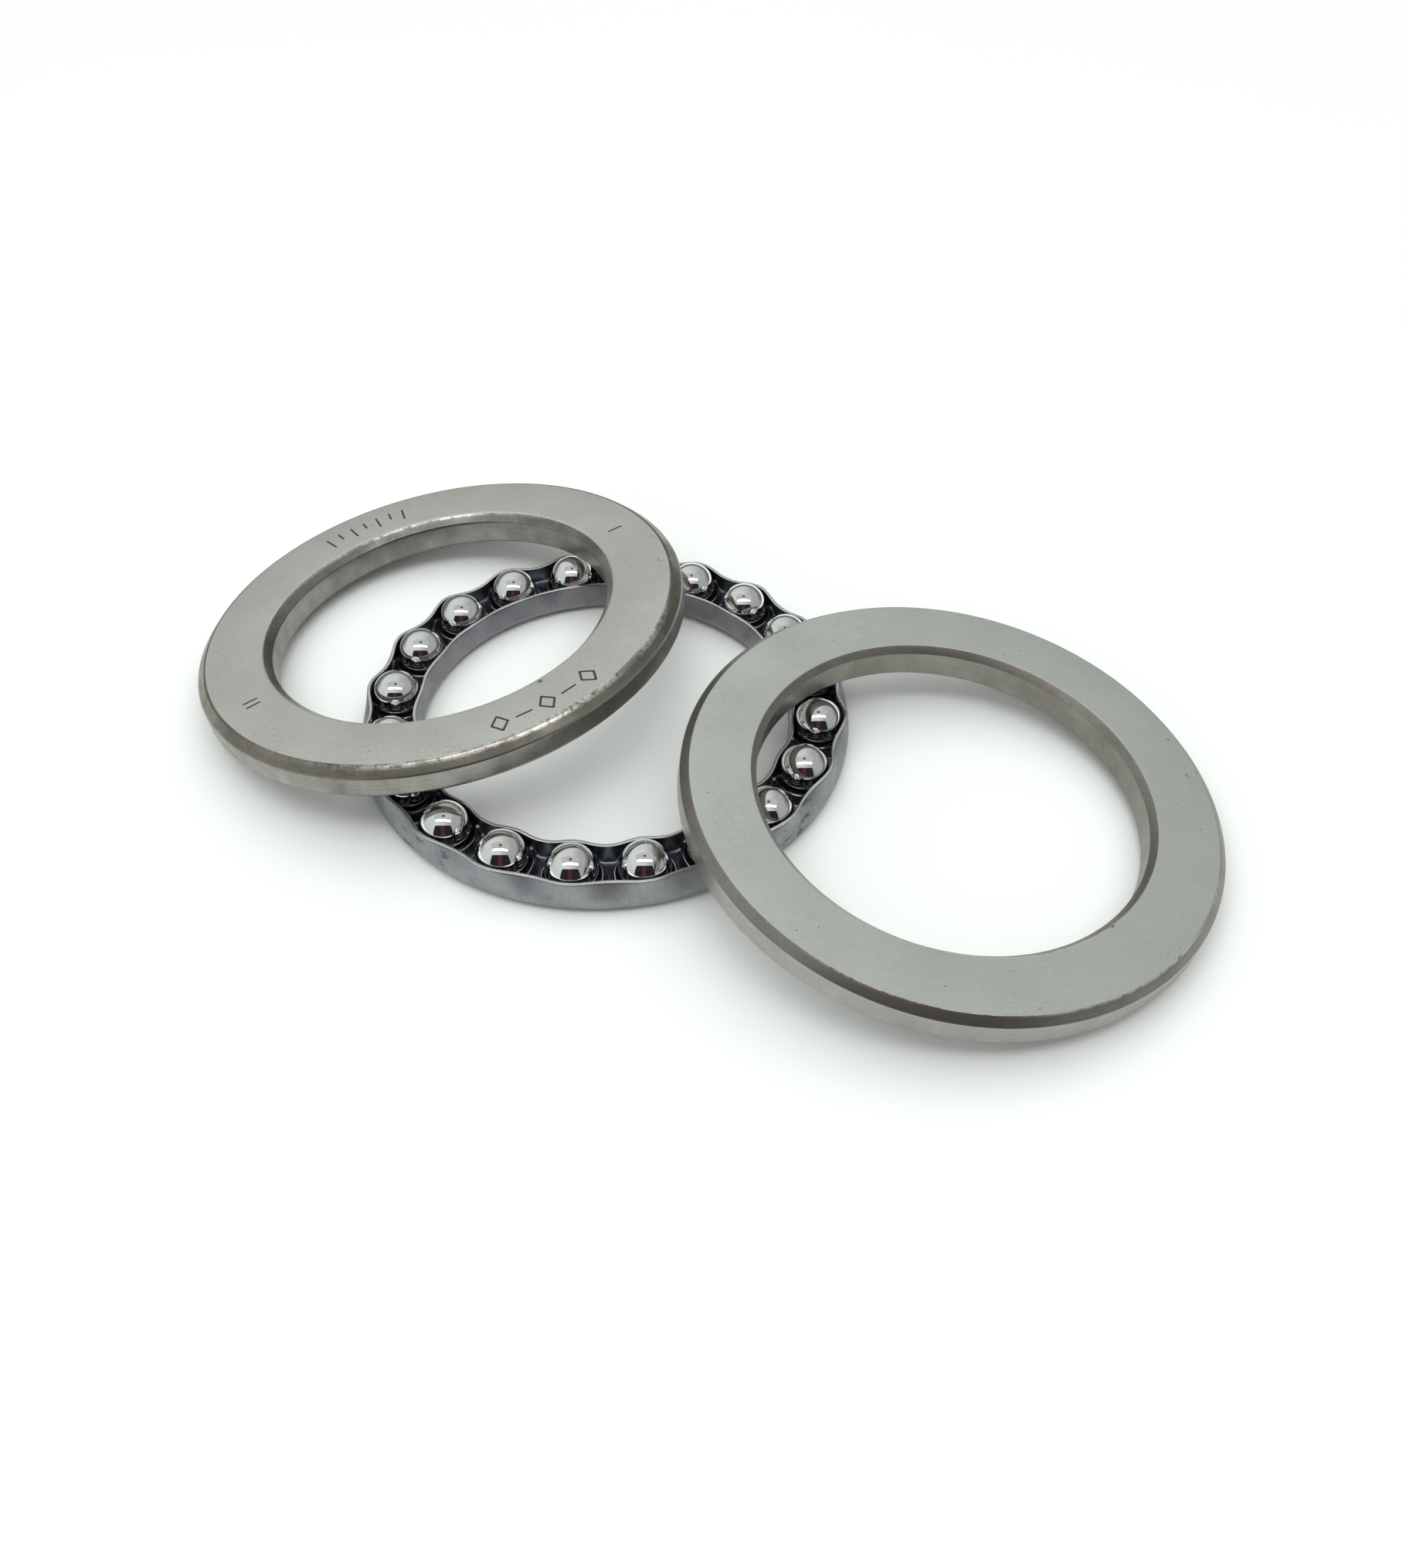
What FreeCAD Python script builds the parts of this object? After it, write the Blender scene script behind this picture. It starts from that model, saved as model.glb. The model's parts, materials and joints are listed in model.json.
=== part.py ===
import FreeCAD, Part
import os
import math

# Single-direction thrust ball bearing, 45 x 65 x 14 mm series, laid open:
# the cage with its balls lies flat, and the two washers lean on it with
# their raceways facing down.  Millimetres, +Z up.  The origin is the centre
# of the footprint, at the level of the surface that everything lies on.

doc = FreeCAD.newDocument("thrust_ball_bearing")
sheet = doc.addObject("Spreadsheet::Sheet", "dims")

CELLS = [
    # rolling set
    ("pitch_dia", 55.0),
    ("ball_dia", 6.35),
    ("ball_count", 20),
    ("first_ball", -131.833),      # direction of ball_01 seen from the ring's centre, degrees
    # washers
    ("outside_dia", 65.0),
    ("shaft_bore", 45.0),
    ("housing_bore", 47.0),
    ("washer_thick", 4.6),
    ("race_radius", 3.43),         # groove radius, 0.54 of the ball
    ("race_depth", 0.775),
    ("shaft_rim_bevel", 1.2),      # back-face outer corner
    ("shaft_bore_bevel", 1.1),     # back-face bore corner
    ("housing_rim_bevel", 0.95),
    ("housing_bore_bevel", 0.8),
    ("race_rim_bevel", 1.0),       # raceway-side outer corner
    ("race_bore_bevel", 0.5),      # raceway-side bore corner
    # pressed cage, heights counted from the balls' centres
    ("sheet_thick", 0.4),
    ("cage_low", -2.85),
    ("web_top", -2.45),
    ("band_top", -1.2),
    ("outer_rim_top", 1.3),
    ("inner_rim_top", 1.15),
    ("band_outer_dia", 63.0),
    ("rim_bulge_dia", 62.3),       # outer rim at a ball
    ("rim_pinch_dia", 60.6),       # outer rim between two balls
    ("hole_band_dia", 47.44),
    ("hole_bulge_dia", 47.7),      # inner rim at a ball
    ("hole_pinch_dia", 48.5),      # inner rim between two balls
    ("seat_hole_dia", 4.6),        # hole in the web under a ball
    ("collar_bore_dia", 6.8),      # collar's mouth
    ("collar_outer_dia", 7.6),
    ("collar_top", -1.0),
    ("collar_foot_dia", 6.0),
    # where the pieces lie
    ("ring_pos_x", -10.018),
    ("ring_pos_y", 3.663),
    ("ring_pos_z", 3.175),
    ("shaft_pos_x", -22.347),      # centre of the back face, from the ring's centre
    ("shaft_pos_y", 12.36),
    ("shaft_pos_z", 6.5494),
    ("shaft_tilt", 9.478),
    ("shaft_lean", 151.061),
    ("housing_pos_x", 42.239),
    ("housing_pos_y", -19.535),
    ("housing_pos_z", 5.4269),
    ("housing_tilt", 7.368),
    ("housing_lean", -14.744),
]
for row, (alias, value) in enumerate(CELLS, start=1):
    sheet.set("A%d" % row, alias)
    sheet.set("B%d" % row, str(value))
    sheet.setAlias("B%d" % row, alias)
doc.recompute()


def val(alias):
    return float(getattr(sheet, alias))


def origin_plane(body, role):
    for feature in body.Origin.OriginFeatures:
        if feature.Role == role:
            return feature
    raise RuntimeError("no " + role)


def new_sketch(body, name, role):
    sk = body.newObject("Sketcher::SketchObject", name)
    sk.AttachmentSupport = [(origin_plane(body, role), "")]
    sk.MapMode = "FlatFace"
    return sk


import Sketcher


def polygon(sk, points):
    """Closed chain of lines; returns the geometry ids."""
    ids = []
    n = len(points)
    for i in range(n):
        a = points[i]
        b = points[(i + 1) % n]
        ids.append(sk.addGeometry(Part.LineSegment(FreeCAD.Vector(a[0], a[1], 0), FreeCAD.Vector(b[0], b[1], 0)), False))
    for i in range(n):
        sk.addConstraint(Sketcher.Constraint("Coincident", ids[i], 2, ids[(i + 1) % n], 1))
    return ids


def place_vertex(sk, gid, name, x, y, expr_x, expr_y):
    """Drive the start point of a line from the sheet; without an expression
    for y it stays on the sketch's horizontal axis."""
    cx = sk.addConstraint(Sketcher.Constraint("DistanceX", -1, 1, gid, 1, x))
    sk.renameConstraint(cx, name + "_x")
    sk.setExpression("Constraints." + name + "_x", expr_x)
    if expr_y is None:
        sk.addConstraint(Sketcher.Constraint("PointOnObject", gid, 1, -1))
        return
    cy = sk.addConstraint(Sketcher.Constraint("DistanceY", -1, 1, gid, 1, y))
    sk.renameConstraint(cy, name + "_y")
    sk.setExpression("Constraints." + name + "_y", expr_y)


def driven_polygon(sk, vertices):
    """vertices: (name, x, y, expression for x, expression for y)."""
    ids = polygon(sk, [(v[1], v[2]) for v in vertices])
    for gid, v in zip(ids, vertices):
        place_vertex(sk, gid, v[0], v[1], v[2], v[3], v[4])
    return ids


def ring_edges(shape, radius, height):
    """Names of the circular edges at a radius and height about Z."""
    names = []
    for i, edge in enumerate(shape.Edges, start=1):
        curve = edge.Curve
        if not isinstance(curve, Part.Circle):
            continue
        if abs(curve.Radius - radius) < 1e-3 and abs(curve.Center.z - height) < 1e-3:
            names.append("Edge%d" % i)
    if not names:
        raise RuntimeError("no edge at r %.3f z %.3f" % (radius, height))
    return names


# ---------------------------------------------------------------- washers
# A washer is a turned and ground ring: a rectangular section, the raceway
# groove cut in its lower face, and four broken corners.  In its own frame
# the lower face is at z = 0 and the back face at z = washer_thick.

def make_washer(label, bore_alias, rim_bevel, bore_bevel):
    body = doc.addObject("PartDesign::Body", label)
    body.Label = label
    rb = val(bore_alias) / 2
    ro = val("outside_dia") / 2
    th = val("washer_thick")

    sec = new_sketch(body, label + "_section", "XZ_Plane")
    driven_polygon(sec, [
        ("a", rb, 0.0, "dims.%s / 2" % bore_alias, None),
        ("b", ro, 0.0, "dims.outside_dia / 2", None),
        ("c", ro, th, "dims.outside_dia / 2", "dims.washer_thick"),
        ("d", rb, th, "dims.%s / 2" % bore_alias, "dims.washer_thick"),
    ])
    doc.recompute()
    blank = body.newObject("PartDesign::Revolution", label + "_blank")
    blank.Profile = sec
    blank.ReferenceAxis = (sec, ["V_Axis"])
    blank.Angle = 360
    doc.recompute()
    before = body.Shape.Volume

    # raceway: a circle of the groove radius whose centre stands below the face
    race = new_sketch(body, label + "_race", "XZ_Plane")
    drop = val("race_radius") - val("race_depth")
    cid = race.addGeometry(Part.Circle(FreeCAD.Vector(val("pitch_dia") / 2, -drop, 0), FreeCAD.Vector(0, 0, 1), val("race_radius")), False)
    k = race.addConstraint(Sketcher.Constraint("Radius", cid, val("race_radius")))
    race.renameConstraint(k, "groove")
    race.setExpression("Constraints.groove", "dims.race_radius")
    k = race.addConstraint(Sketcher.Constraint("DistanceX", -1, 1, cid, 3, val("pitch_dia") / 2))
    race.renameConstraint(k, "pitch")
    race.setExpression("Constraints.pitch", "dims.pitch_dia / 2")
    k = race.addConstraint(Sketcher.Constraint("DistanceY", cid, 3, -1, 1, drop))
    race.renameConstraint(k, "drop")
    race.setExpression("Constraints.drop", "dims.race_radius - dims.race_depth")
    doc.recompute()
    groove = body.newObject("PartDesign::Groove", label + "_raceway")
    groove.Profile = race
    groove.ReferenceAxis = (race, ["V_Axis"])
    groove.Angle = 360
    doc.recompute()
    if not body.Shape.Volume < before - 10:
        raise RuntimeError(label + ": the raceway cut nothing")

    z0, z1 = 0.0, th
    for name, radius, height, alias in (
        ("rim_back", ro, z1, rim_bevel),
        ("bore_back", rb, z1, bore_bevel),
        ("rim_race", ro, z0, "race_rim_bevel"),
        ("bore_race", rb, z0, "race_bore_bevel"),
    ):
        base = body.Tip
        cut = body.newObject("PartDesign::Chamfer", "%s_%s" % (label, name))
        cut.Base = (base, ring_edges(base.Shape, radius, height))
        cut.Size = val(alias)
        cut.setExpression("Size", "dims." + alias)
        doc.recompute()
    return body


def lean(body, prefix):
    """Tilt about the horizontal line square to the lean direction, with the
    back face's centre at the sheet's position."""
    tilt = math.radians(val(prefix + "_tilt"))
    way = math.radians(val(prefix + "_lean"))
    turn = FreeCAD.Rotation(FreeCAD.Vector(-math.sin(way), math.cos(way), 0), math.degrees(tilt))
    body.Placement = FreeCAD.Placement(FreeCAD.Vector(0, 0, 0), turn)
    body.setExpression("Placement.Base.x", "dims.ring_pos_x + dims.%s_pos_x - dims.washer_thick * sin(dims.%s_tilt * 1 deg) * cos(dims.%s_lean * 1 deg)" % (prefix, prefix, prefix))
    body.setExpression("Placement.Base.y", "dims.ring_pos_y + dims.%s_pos_y - dims.washer_thick * sin(dims.%s_tilt * 1 deg) * sin(dims.%s_lean * 1 deg)" % (prefix, prefix, prefix))
    body.setExpression("Placement.Base.z", "dims.ring_pos_z + dims.%s_pos_z - dims.washer_thick * cos(dims.%s_tilt * 1 deg)" % (prefix, prefix))


shaft_washer = make_washer("shaft_washer", "shaft_bore", "shaft_rim_bevel", "shaft_bore_bevel")
lean(shaft_washer, "shaft")
housing_washer = make_washer("housing_washer", "housing_bore", "housing_rim_bevel", "housing_bore_bevel")
lean(housing_washer, "housing")

# ---------------------------------------------------------------- cage
# One pressed steel channel, open upwards: a low web with a hole and an
# upstanding collar for each ball, and two walls whose rims bulge at every
# ball and pinch in between two balls, which is what keeps the balls in.
# In its own frame ball_01 is on +X and z = 0 is at the balls' centres.

COUNT = int(val("ball_count"))
cage = doc.addObject("PartDesign::Body", "cage")
cage.Label = "cage"


def wave_poles(bulge, pinch):
    """Pole radii of a periodic cubic spline that passes through the bulge
    radius at each ball and the pinch radius midway between two balls."""
    c = math.cos(math.pi / COUNT)
    det = 16 - 4 * c * c
    pb = (4 * 6 * bulge - 2 * c * 6 * pinch) / det
    pp = (4 * 6 * pinch - 2 * c * 6 * bulge) / det
    return pb, pp


def wave_sketch(name, bulge, pinch, height_expr):
    sk = new_sketch(cage, name, "XY_Plane")
    pb, pp = wave_poles(bulge, pinch)
    poles = []
    for i in range(2 * COUNT):
        r = pb if i % 2 == 0 else pp
        # half a step back, so that the seam lies between two poles
        a = math.pi * i / COUNT
        poles.append(FreeCAD.Vector(r * math.cos(a), r * math.sin(a), 0))
    curve = Part.BSplineCurve()
    curve.buildFromPolesMultsKnots(poles, [1] * (2 * COUNT + 1), list(range(2 * COUNT + 1)), True, 3)
    gid = sk.addGeometry(curve, False)
    sk.addConstraint(Sketcher.Constraint("Block", gid))
    sk.setExpression("AttachmentOffset.Base.z", height_expr)
    return sk


def loft(kind, name, sketches):
    doc.recompute()
    feat = cage.newObject("PartDesign::" + kind, name)
    feat.Profile = sketches[0]
    feat.Sections = sketches[1:]
    feat.Ruled = True
    feat.Closed = False
    doc.recompute()
    return feat


T = val("sheet_thick")
ob = val("band_outer_dia") / 2
rb_, rp_ = val("rim_bulge_dia") / 2, val("rim_pinch_dia") / 2
hb = val("hole_band_dia") / 2
hbu, hpi = val("hole_bulge_dia") / 2, val("hole_pinch_dia") / 2

# outer face of the outer wall
loft("AdditiveLoft", "cage_outside", [
    wave_sketch("outside_low", ob, ob, "dims.cage_low"),
    wave_sketch("outside_band", ob, ob, "dims.band_top"),
    wave_sketch("outside_rim", rb_, rp_, "dims.outer_rim_top"),
])
v0 = cage.Shape.Volume
# channel, down to the web
loft("SubtractiveLoft", "cage_channel", [
    wave_sketch("channel_low", ob - T, ob - T, "dims.web_top"),
    wave_sketch("channel_band", ob - T, ob - T, "dims.band_top"),
    wave_sketch("channel_rim", rb_ - T, rp_ - T, "dims.outer_rim_top"),
])
v1 = cage.Shape.Volume
if not v1 < v0:
    raise RuntimeError("the channel cut nothing")
# ball side of the inner wall
loft("AdditiveLoft", "cage_inner_wall", [
    wave_sketch("inner_low", hb + T, hb + T, "dims.cage_low"),
    wave_sketch("inner_band", hb + T, hb + T, "dims.band_top"),
    wave_sketch("inner_rim", hbu + T, hpi + T, "dims.inner_rim_top"),
])

# collar round the first ball, then round all of them
half = val("pitch_dia") / 2
col = new_sketch(cage, "collar_section", "XZ_Plane")
P = "dims.pitch_dia / 2 + "
driven_polygon(col, [
    ("a", half + val("seat_hole_dia") / 2, val("cage_low"), P + "dims.seat_hole_dia / 2", "dims.cage_low"),
    ("b", half + val("collar_foot_dia") / 2, val("cage_low"), P + "dims.collar_foot_dia / 2", "dims.cage_low"),
    ("c", half + val("collar_foot_dia") / 2, val("web_top"), P + "dims.collar_foot_dia / 2", "dims.web_top"),
    ("d", half + val("collar_outer_dia") / 2, val("collar_top"), P + "dims.collar_outer_dia / 2", "dims.collar_top"),
    ("e", half + val("collar_bore_dia") / 2, val("collar_top"), P + "dims.collar_bore_dia / 2", "dims.collar_top"),
    ("f", half + val("seat_hole_dia") / 2, val("web_top") - 0.15, P + "dims.seat_hole_dia / 2", "dims.web_top - 0.15"),
])
ax = col.addGeometry(Part.LineSegment(FreeCAD.Vector(half, -4, 0), FreeCAD.Vector(half, 4, 0)), True)
k = col.addConstraint(Sketcher.Constraint("Vertical", ax))
k = col.addConstraint(Sketcher.Constraint("DistanceX", -1, 1, ax, 1, half))
col.renameConstraint(k, "axis_x")
col.setExpression("Constraints.axis_x", "dims.pitch_dia / 2")
doc.recompute()
collar = cage.newObject("PartDesign::Revolution", "collar")
collar.Profile = col
collar.ReferenceAxis = (col, ["Axis0"])
collar.Angle = 360
doc.recompute()
ring = cage.newObject("PartDesign::PolarPattern", "collars")
ring.Originals = [collar]
ring.Axis = (col, ["V_Axis"])
ring.Angle = 360
ring.Occurrences = COUNT
ring.setExpression("Occurrences", "dims.ball_count")
cage.Tip = ring
doc.recompute()

# hole through the ring, inside the inner wall
v2 = cage.Shape.Volume
loft("SubtractiveLoft", "cage_hole", [
    wave_sketch("hole_low", hb, hb, "dims.cage_low"),
    wave_sketch("hole_band", hb, hb, "dims.band_top"),
    wave_sketch("hole_rim", hbu, hpi, "dims.inner_rim_top"),
])
v3 = cage.Shape.Volume
if not v3 < v2:
    raise RuntimeError("the ring's hole cut nothing")

# ball pocket: the hole in the web and the mouth of the collar
poc = new_sketch(cage, "pocket_section", "XZ_Plane")
driven_polygon(poc, [
    ("a", half, val("cage_low") - 0.5, "dims.pitch_dia / 2", "dims.cage_low - 0.5"),
    ("b", half + val("seat_hole_dia") / 2, val("cage_low") - 0.5, P + "dims.seat_hole_dia / 2", "dims.cage_low - 0.5"),
    ("c", half + val("seat_hole_dia") / 2, val("web_top") - 0.15, P + "dims.seat_hole_dia / 2", "dims.web_top - 0.15"),
    ("d", half + val("collar_bore_dia") / 2, val("collar_top"), P + "dims.collar_bore_dia / 2", "dims.collar_top"),
    ("e", half, val("collar_top"), "dims.pitch_dia / 2", "dims.collar_top"),
])
doc.recompute()
pocket = cage.newObject("PartDesign::Groove", "ball_pocket")
pocket.Profile = poc
ax = poc.addGeometry(Part.LineSegment(FreeCAD.Vector(half, -5, 0), FreeCAD.Vector(half, 5, 0)), True)
poc.addConstraint(Sketcher.Constraint("Vertical", ax))
k = poc.addConstraint(Sketcher.Constraint("DistanceX", -1, 1, ax, 1, half))
poc.renameConstraint(k, "axis_x")
poc.setExpression("Constraints.axis_x", "dims.pitch_dia / 2")
pocket.ReferenceAxis = (poc, ["Axis0"])
pocket.Angle = 360
doc.recompute()
v4 = cage.Shape.Volume
if not v4 < v3 - 0.5:
    raise RuntimeError("the ball pocket cut nothing")
pockets = cage.newObject("PartDesign::PolarPattern", "ball_pockets")
pockets.Originals = [pocket]
pockets.Axis = (poc, ["V_Axis"])
pockets.Angle = 360
pockets.Occurrences = COUNT
pockets.setExpression("Occurrences", "dims.ball_count")
cage.Tip = pockets
doc.recompute()
v5 = cage.Shape.Volume
if not abs((v3 - v5) - COUNT * (v3 - v4)) < 0.02 * (v3 - v5):
    raise RuntimeError("the ball pockets are uneven")

cage.Placement = FreeCAD.Placement(FreeCAD.Vector(0, 0, 0), FreeCAD.Rotation(FreeCAD.Vector(0, 0, 1), val("first_ball")))
cage.setExpression("Placement.Base.x", "dims.ring_pos_x")
cage.setExpression("Placement.Base.y", "dims.ring_pos_y")
cage.setExpression("Placement.Base.z", "dims.ring_pos_z")

# ---------------------------------------------------------------- balls
balls = []
for i in range(COUNT):
    ball = doc.addObject("Part::Sphere", "ball_%02d" % (i + 1))
    ball.Label = "ball_%02d" % (i + 1)
    ball.setExpression("Radius", "dims.ball_dia / 2")
    turn = "(dims.first_ball + %d * 360 / dims.ball_count) * 1 deg" % i
    ball.setExpression("Placement.Base.x", "dims.ring_pos_x + dims.pitch_dia / 2 * cos(%s)" % turn)
    ball.setExpression("Placement.Base.y", "dims.ring_pos_y + dims.pitch_dia / 2 * sin(%s)" % turn)
    ball.setExpression("Placement.Base.z", "dims.ring_pos_z")
    balls.append(ball)

doc.recompute()

# ---------------------------------------------------------------- checks and files
for obj in doc.Objects:
    if "Invalid" in obj.State or "Error" in obj.State:
        raise RuntimeError("%s: %s" % (obj.Name, obj.State))

nodes = [shaft_washer, housing_washer, cage] + balls
for obj in nodes:
    shape = obj.Shape
    if shape.isNull() or not shape.isValid() or len(shape.Solids) != 1:
        raise RuntimeError("%s: bad shape, %d solids" % (obj.Label, len(shape.Solids)))

os.makedirs("parts", exist_ok=True)
whole = FreeCAD.BoundBox()
for obj in nodes:
    obj.Shape.exportStep("parts/%s.step" % obj.Label)
    box = obj.Shape.optimalBoundingBox(False, False)
    whole.add(box)
    if not obj.Label.startswith("ball"):
        print("%-16s %8.2f mm3  x %7.3f %7.3f  y %7.3f %7.3f  z %7.3f %7.3f" % (
            obj.Label, obj.Shape.Volume, box.XMin, box.XMax, box.YMin, box.YMax, box.ZMin, box.ZMax))
print("whole            x %.4f %.4f  y %.4f %.4f  z %.4f %.4f" % (whole.XMin, whole.XMax, whole.YMin, whole.YMax, whole.ZMin, whole.ZMax))
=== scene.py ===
import json
import math

import bpy
import numpy as np
from mathutils import Matrix, Vector


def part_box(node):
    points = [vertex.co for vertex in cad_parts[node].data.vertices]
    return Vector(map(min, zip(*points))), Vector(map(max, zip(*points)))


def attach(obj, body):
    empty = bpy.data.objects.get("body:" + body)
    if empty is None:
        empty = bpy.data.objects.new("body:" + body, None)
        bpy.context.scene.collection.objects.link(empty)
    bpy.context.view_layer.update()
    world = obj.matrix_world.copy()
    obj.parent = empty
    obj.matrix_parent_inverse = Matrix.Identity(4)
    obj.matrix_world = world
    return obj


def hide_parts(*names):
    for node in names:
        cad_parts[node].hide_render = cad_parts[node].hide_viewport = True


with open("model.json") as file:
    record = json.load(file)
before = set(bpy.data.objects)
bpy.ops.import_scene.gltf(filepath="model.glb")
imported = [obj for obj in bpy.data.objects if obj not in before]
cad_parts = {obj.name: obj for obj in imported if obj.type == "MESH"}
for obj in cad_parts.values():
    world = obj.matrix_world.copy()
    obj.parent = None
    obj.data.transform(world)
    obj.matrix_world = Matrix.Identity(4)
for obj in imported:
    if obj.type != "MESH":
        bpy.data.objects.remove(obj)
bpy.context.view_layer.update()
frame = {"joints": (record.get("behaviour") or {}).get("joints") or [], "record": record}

# A single-direction thrust ball bearing laid open on a pale surface: the
# cage with its balls lies flat, and the shaft washer and housing washer lean
# on it.  Lengths below are millimetres and become metres when a mesh is made.

MM = 0.001
BALLS = ["ball_%02d" % (i + 1) for i in range(20)]
COUNT = len(BALLS)
PITCH_R = 27.5
BALL_R = 3.175
THICK = 4.6

# ------------------------------------------------------------------ places
record = frame["record"]
mounts = {m["name"]: m for m in record["mounts"]}
joints = {j["name"]: j for j in frame["joints"]}
lo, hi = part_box("cage")
b_lo, b_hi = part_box("ball_01")
RING = Vector(((lo.x + hi.x) / 2, (lo.y + hi.y) / 2, (b_lo.z + b_hi.z) / 2))
orbit = joints["cage_orbit"]
RING = Vector(orbit["pos_m"])
first = Vector(joints["ball_01_roll"]["pos_m"]) - RING
FIRST = math.atan2(first.y, first.x)


def face_frame(point_on_axis, point_on_face, axis):
    """Frame with its origin at the back face's centre and +Z out of it."""
    n = Vector(axis).normalized()
    p = Vector(point_on_axis)
    c = p + n * (Vector(point_on_face) - p).dot(n)
    x = Vector((1, 0, 0)) - n * n.x
    x.normalize()
    y = n.cross(x)
    m = Matrix((x, y, n)).transposed().to_4x4()
    m.translation = c
    return m


SHAFT = face_frame(joints["shaft_washer_spin"]["pos_m"], mounts["shaft_seat"]["pos_m"], mounts["shaft_seat"]["axis"])
HOUSING = face_frame(mounts["housing_washer_bore"]["pos_m"], mounts["housing_seat"]["pos_m"], mounts["housing_seat"]["axis"])
CAGE = Matrix.Rotation(FIRST, 4, "Z")
CAGE.translation = RING


def heading(own, degrees):
    """Angle in a washer's own frame of a horizontal direction."""
    t = math.radians(degrees)
    v = own.to_3x3().inverted() @ Vector((math.cos(t), math.sin(t), 0))
    return math.atan2(v.y, v.x)


# ------------------------------------------------------------------ node help
class Nodes:
    """Short hand for building a node tree."""

    def __init__(self, name, own=None):
        self.mat = bpy.data.materials.new(name)
        self.mat.use_nodes = True
        self.nt = self.mat.node_tree
        self.nt.nodes.clear()
        self.out = self.nt.nodes.new("ShaderNodeOutputMaterial")
        self.bsdf = self.nt.nodes.new("ShaderNodeBsdfPrincipled")
        self.nt.links.new(self.bsdf.outputs["BSDF"], self.out.inputs["Surface"])
        self.coord = self.nt.nodes.new("ShaderNodeTexCoord")
        self.obj = self.coord.outputs["Object"]
        if own is not None:
            n = self.nt.nodes.new("ShaderNodeMapping")
            n.vector_type = "TEXTURE"
            n.inputs["Location"].default_value = own.translation
            n.inputs["Rotation"].default_value = own.to_euler("XYZ")
            self.link(self.obj, n.inputs["Vector"])
            self.obj = n.outputs[0]

    def link(self, a, b):
        self.nt.links.new(a, b)

    def put(self, socket, value):
        if isinstance(value, bpy.types.NodeSocket):
            self.link(value, socket)
        else:
            socket.default_value = value

    def math(self, op, a, b=0.0, c=0.0, clamp=False):
        n = self.nt.nodes.new("ShaderNodeMath")
        n.operation = op
        n.use_clamp = clamp
        self.put(n.inputs[0], a)
        self.put(n.inputs[1], b)
        self.put(n.inputs[2], c)
        return n.outputs[0]

    def scaled(self, sx, sy, sz, source=None):
        n = self.nt.nodes.new("ShaderNodeMapping")
        n.inputs["Scale"].default_value = (sx, sy, sz)
        self.link(source or self.obj, n.inputs["Vector"])
        return n.outputs[0]

    def noise(self, scale, detail=3.0, rough=0.55, vec=None, dist=0.0):
        n = self.nt.nodes.new("ShaderNodeTexNoise")
        n.inputs["Scale"].default_value = scale
        n.inputs["Detail"].default_value = detail
        n.inputs["Roughness"].default_value = rough
        n.inputs["Distortion"].default_value = dist
        self.link(vec or self.obj, n.inputs["Vector"])
        return n.outputs["Fac"]

    def cells(self, scale, vec=None, feature="F1", random=1.0):
        n = self.nt.nodes.new("ShaderNodeTexVoronoi")
        n.feature = feature
        n.inputs["Scale"].default_value = scale
        n.inputs["Randomness"].default_value = random
        self.link(vec or self.obj, n.inputs["Vector"])
        return n.outputs["Distance"]

    def ramp(self, fac, stops, interp="LINEAR"):
        n = self.nt.nodes.new("ShaderNodeValToRGB")
        n.color_ramp.interpolation = interp
        els = n.color_ramp.elements
        while len(els) < len(stops):
            els.new(0.5)
        for e, (p, c) in zip(els, stops):
            e.position = p
            e.color = (c, c, c, 1) if isinstance(c, (int, float)) else (*c, 1)
        self.link(fac, n.inputs["Fac"])
        return n.outputs["Color"]

    def mix(self, fac, a, b, kind="MIX"):
        n = self.nt.nodes.new("ShaderNodeMix")
        n.data_type = "RGBA"
        n.blend_type = kind
        n.clamp_result = False
        self.put(n.inputs[0], fac)
        for s, v in ((n.inputs[6], a), (n.inputs[7], b)):
            if isinstance(v, (tuple, list)) and len(v) == 3:
                v = (*v, 1)
            self.put(s, v)
        return n.outputs[2]

    def around(self):
        """Length along the circumference and the radius, in the piece's own frame."""
        sep = self.nt.nodes.new("ShaderNodeSeparateXYZ")
        self.link(self.obj, sep.inputs[0])
        r = self.math("SQRT", self.math("ADD", self.math("MULTIPLY", sep.outputs[0], sep.outputs[0]), self.math("MULTIPLY", sep.outputs[1], sep.outputs[1])))
        return sep.outputs, r

    def vec(self, x, y, z):
        n = self.nt.nodes.new("ShaderNodeCombineXYZ")
        self.put(n.inputs[0], x)
        self.put(n.inputs[1], y)
        self.put(n.inputs[2], z)
        return n.outputs[0]

    def bump(self, height, strength, distance, normal=None):
        n = self.nt.nodes.new("ShaderNodeBump")
        n.inputs["Strength"].default_value = strength
        n.inputs["Distance"].default_value = distance
        self.link(height, n.inputs["Height"])
        if normal is not None:
            self.link(normal, n.inputs["Normal"])
        return n.outputs["Normal"]

    def set(self, name, value):
        self.put(self.bsdf.inputs[name], value)


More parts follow.
